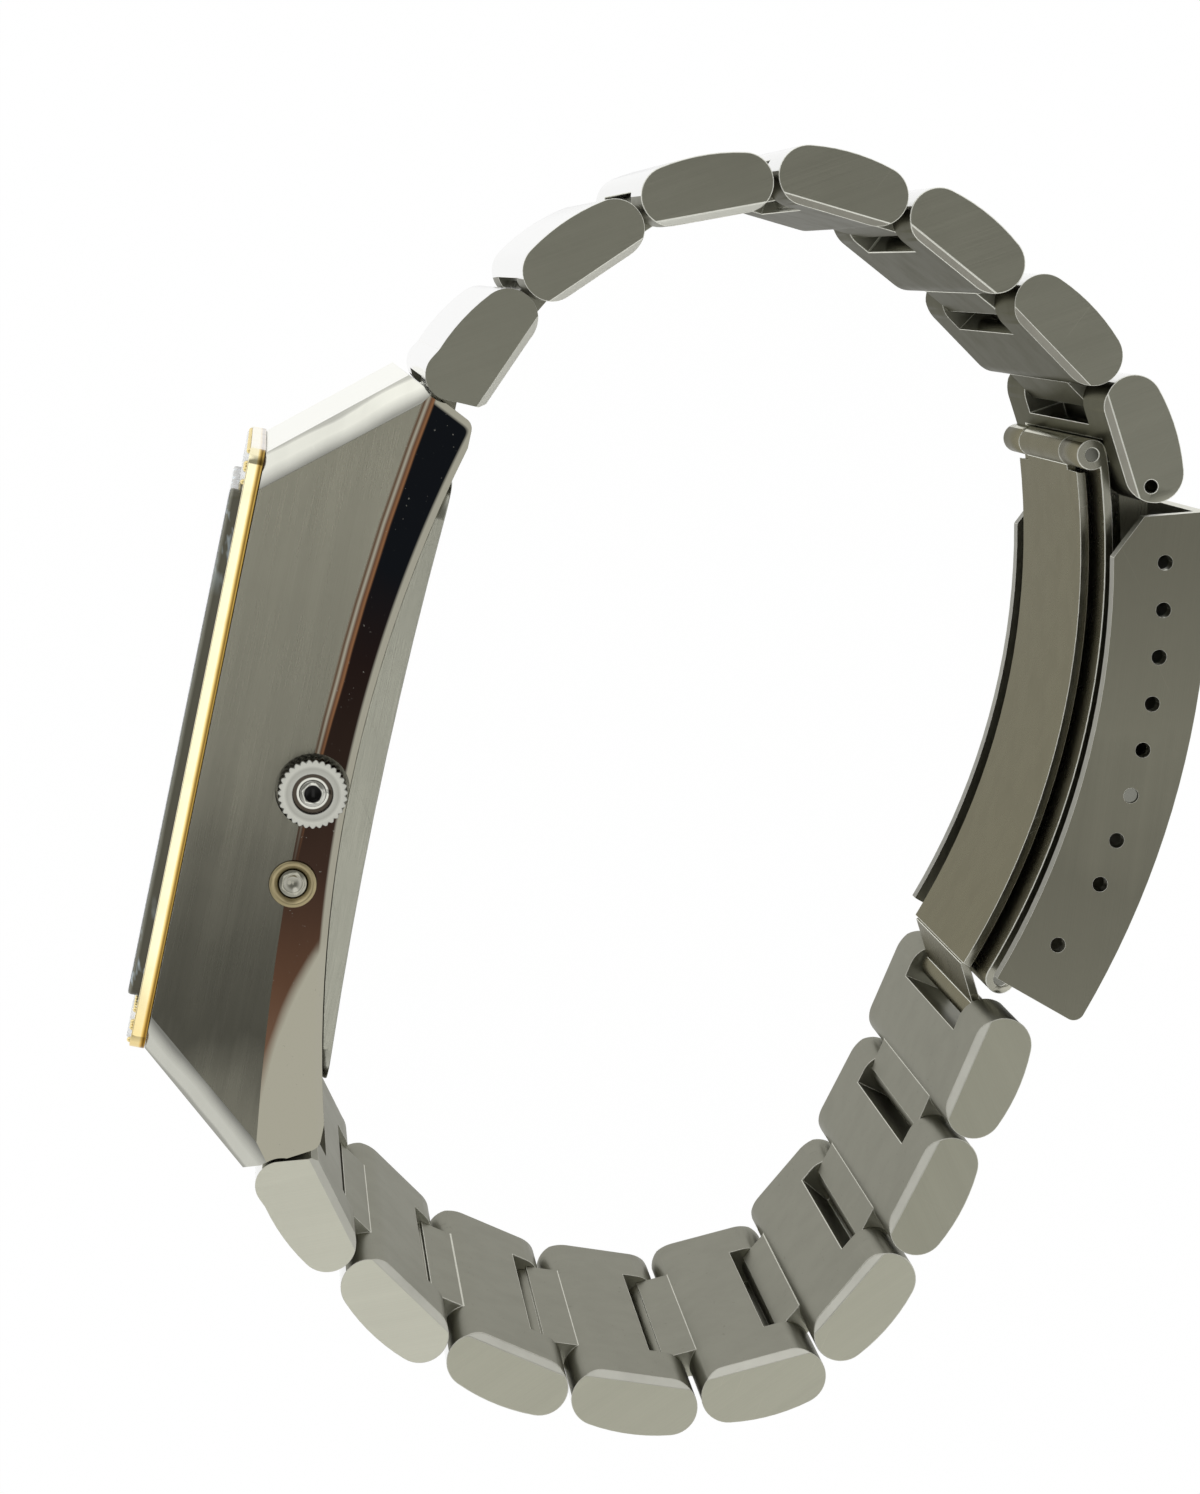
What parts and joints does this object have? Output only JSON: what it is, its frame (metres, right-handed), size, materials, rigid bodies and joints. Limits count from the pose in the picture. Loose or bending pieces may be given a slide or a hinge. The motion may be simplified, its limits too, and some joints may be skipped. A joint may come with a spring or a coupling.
{
  "type": "quartz wristwatch",
  "caption": "Rectangular quartz wristwatch with a stone-set gold bezel, knurled crown and a solid-link steel bracelet closed by a folding clasp with adjusting holes.",
  "frame": {"origin": "under the middle of the closed loop's bounding box, in the plane of the case's 9 o'clock side", "axes": "the watch lies on its 9 o'clock side: +Z along every hinge and the crown, out of the crown; +Y up the loop towards 12 o'clock, +X from the dial to the clasp"},
  "size_m": [0.0555, 0.0671, 0.0243],
  "materials": {
    "brushed_steel": "long brushed side faces",
    "polished_steel": "polished",
    "gold_plate": "polished gold plating",
    "brass": "satin",
    "crystal": "polished",
    "stones": "faceted",
    "gasket": "matte",
    "dial": "satin",
    "holder": "matte",
    "board": "solder mask",
    "coil": "enamelled copper wire",
    "battery": "satin"
  },
  "bodies": {
    "case": {"case_middle": "brushed_steel", "bezel": "gold_plate", "bezel_stones": "stones", "crystal": "crystal", "crystal_gasket": "gasket", "dial": "dial", "movement_holder": "holder", "movement_plate": "brass", "circuit_board": "board", "coil": "coil", "battery": "battery", "caseback": "polished_steel", "caseback_gasket": "gasket", "crown_tube": "polished_steel", "corrector_sleeve": "brass", "corrector_spring": "polished_steel"},
    "crown_yoke": {"setting_yoke": "polished_steel"},
    "crown_stem": {"crown": "polished_steel", "winding_stem": "polished_steel"},
    "corrector": {"corrector_button": "polished_steel"},
    "minute_hand": {"minute_hand": "gold_plate"},
    "hour_hand": {"hour_hand": "gold_plate"},
    "link_12_1": {"link_12_1": "brushed_steel", "pin_12_1": "polished_steel"},
    "link_12_2": {"link_12_2": "brushed_steel", "pin_12_2": "polished_steel"},
    "link_12_3": {"link_12_3": "brushed_steel", "pin_12_3": "polished_steel"},
    "link_12_4": {"link_12_4": "brushed_steel", "pin_12_4": "polished_steel"},
    "link_12_5": {"link_12_5": "brushed_steel", "pin_12_5": "polished_steel"},
    "link_12_6": {"link_12_6": "brushed_steel", "pin_12_6": "polished_steel"},
    "link_12_7": {"link_12_7": "brushed_steel", "pin_12_7": "polished_steel", "clasp_end_pin": "polished_steel"},
    "link_6_1": {"link_6_1": "brushed_steel", "pin_6_1": "polished_steel", "pin_6_2": "polished_steel"},
    "link_6_2": {"link_6_2": "brushed_steel", "pin_6_3": "polished_steel"},
    "link_6_3": {"link_6_3": "brushed_steel", "pin_6_4": "polished_steel"},
    "link_6_4": {"link_6_4": "brushed_steel", "pin_6_5": "polished_steel"},
    "link_6_5": {"link_6_5": "brushed_steel", "pin_6_6": "polished_steel"},
    "link_6_6": {"link_6_6": "brushed_steel", "pin_6_7": "polished_steel"},
    "link_6_7": {"link_6_7": "brushed_steel", "pin_6_8": "polished_steel"},
    "link_6_8": {"link_6_8": "brushed_steel"},
    "clasp_cover": {"clasp_cover": "brushed_steel", "clasp_end_piece": "brushed_steel", "clasp_spring_bar": "polished_steel"},
    "blade_outer": {"fold_blade_outer": "polished_steel", "cover_hinge_pin": "polished_steel", "blade_hinge_pin": "polished_steel"},
    "blade_inner": {"fold_blade_inner": "polished_steel"}
  },
  "joints": [
    {"name": "hinge_12_1", "type": "hinge", "parent": "case", "child": "link_12_1", "pos_m": [-0.01149, 0.02203, 0.0115], "axis": [0, 0, 1], "range_deg": [0, 29]},
    {"name": "hinge_12_2", "type": "hinge", "parent": "link_12_1", "child": "link_12_2", "pos_m": [-0.00662, 0.02674, 0.0115], "axis": [0, 0, 1], "range_deg": [0, 15]},
    {"name": "hinge_12_3", "type": "hinge", "parent": "link_12_2", "child": "link_12_3", "pos_m": [-0.00093, 0.03065, 0.0115], "axis": [0, 0, 1], "range_deg": [0, 23.5]},
    {"name": "hinge_12_4", "type": "hinge", "parent": "link_12_3", "child": "link_12_4", "pos_m": [0.00584, 0.03197, 0.0115], "axis": [0, 0, 1], "range_deg": [0, 26]},
    {"name": "hinge_12_5", "type": "hinge", "parent": "link_12_4", "child": "link_12_5", "pos_m": [0.01251, 0.03018, 0.0115], "axis": [0, 0, 1], "range_deg": [0, 22]},
    {"name": "hinge_12_6", "type": "hinge", "parent": "link_12_5", "child": "link_12_6", "pos_m": [0.01802, 0.02603, 0.0115], "axis": [0, 0, 1], "range_deg": [0, 7]},
    {"name": "hinge_12_7", "type": "hinge", "parent": "link_12_6", "child": "link_12_7", "pos_m": [0.02298, 0.02124, 0.0115], "axis": [0, 0, 1], "range_deg": [0, 26.5]},
    {"name": "clasp_end_hinge", "type": "hinge", "parent": "link_12_7", "child": "clasp_cover", "pos_m": [0.02446, 0.01677, 0.0115], "axis": [0, 0, 1], "range_deg": [0, 20]},
    {"name": "clasp_lower_fold", "type": "hinge", "parent": "clasp_cover", "child": "blade_outer", "pos_m": [0.01811, -0.00955, 0.0115], "axis": [0, 0, 1], "range_deg": [0, 60]},
    {"name": "clasp_upper_fold", "type": "hinge", "parent": "blade_outer", "child": "blade_inner", "pos_m": [0.02201, 0.01821, 0.0115], "axis": [0, 0, 1], "range_deg": [-60, 0]},
    {"name": "hinge_6_1", "type": "hinge", "parent": "case", "child": "link_6_1", "pos_m": [-0.01995, -0.01952, 0.0115], "axis": [0, 0, -1], "range_deg": [0, 44.27]},
    {"name": "hinge_6_2", "type": "hinge", "parent": "link_6_1", "child": "link_6_2", "pos_m": [-0.01702, -0.02286, 0.0115], "axis": [0, 0, -1], "range_deg": [0, 12]},
    {"name": "hinge_6_3", "type": "hinge", "parent": "link_6_2", "child": "link_6_3", "pos_m": [-0.01216, -0.02776, 0.0115], "axis": [0, 0, -1], "range_deg": [0, 21]},
    {"name": "hinge_6_4", "type": "hinge", "parent": "link_6_3", "child": "link_6_4", "pos_m": [-0.00587, -0.0306, 0.0115], "axis": [0, 0, -1], "range_deg": [0, 15]},
    {"name": "hinge_6_5", "type": "hinge", "parent": "link_6_4", "child": "link_6_5", "pos_m": [0.00094, -0.0317, 0.0115], "axis": [0, 0, -1], "range_deg": [0, 23.69]},
    {"name": "hinge_6_6", "type": "hinge", "parent": "link_6_5", "child": "link_6_6", "pos_m": [0.00762, -0.02998, 0.0115], "axis": [0, 0, -1], "range_deg": [0, 36]},
    {"name": "hinge_6_7", "type": "hinge", "parent": "link_6_6", "child": "link_6_7", "pos_m": [0.01202, -0.02466, 0.0115], "axis": [0, 0, -1], "range_deg": [0, 13.5]},
    {"name": "hinge_6_8", "type": "hinge", "parent": "link_6_7", "child": "link_6_8", "pos_m": [0.01505, -0.01846, 0.0115], "axis": [0, 0, -1], "range_deg": [0, 4]},
    {"name": "crown_pull", "type": "slide", "parent": "case", "child": "crown_yoke", "axis": [0, 0, 1], "range_m": [0, 0.0008]},
    {"name": "crown_turn", "type": "hinge", "parent": "crown_yoke", "child": "crown_stem", "pos_m": [-0.0183, 0.00112, 0.0115], "axis": [0, 0, 1], "continuous": true},
    {"name": "corrector_press", "type": "slide", "parent": "case", "child": "corrector", "axis": [0, 0, -1], "range_m": [0, 0.0005], "stiffness_N_per_m": 200, "springref_m": -0.0003, "deforming": ["corrector_spring"]},
    {"name": "minute_turn", "type": "hinge", "parent": "case", "child": "minute_hand", "pos_m": [-0.01817, 0.00176, 0.0115], "axis": [-0.9799, 0.1994, 0], "continuous": true},
    {"name": "hour_turn", "type": "hinge", "parent": "case", "child": "hour_hand", "pos_m": [-0.01817, 0.00176, 0.0115], "axis": [-0.9799, 0.1994, 0], "continuous": true}
  ],
  "couplings": [
    {"joint": "clasp_upper_fold", "follows": "clasp_lower_fold", "ratio": -1},
    {"joint": "hour_turn", "follows": "minute_turn", "ratio": 0.083333}
  ]
}
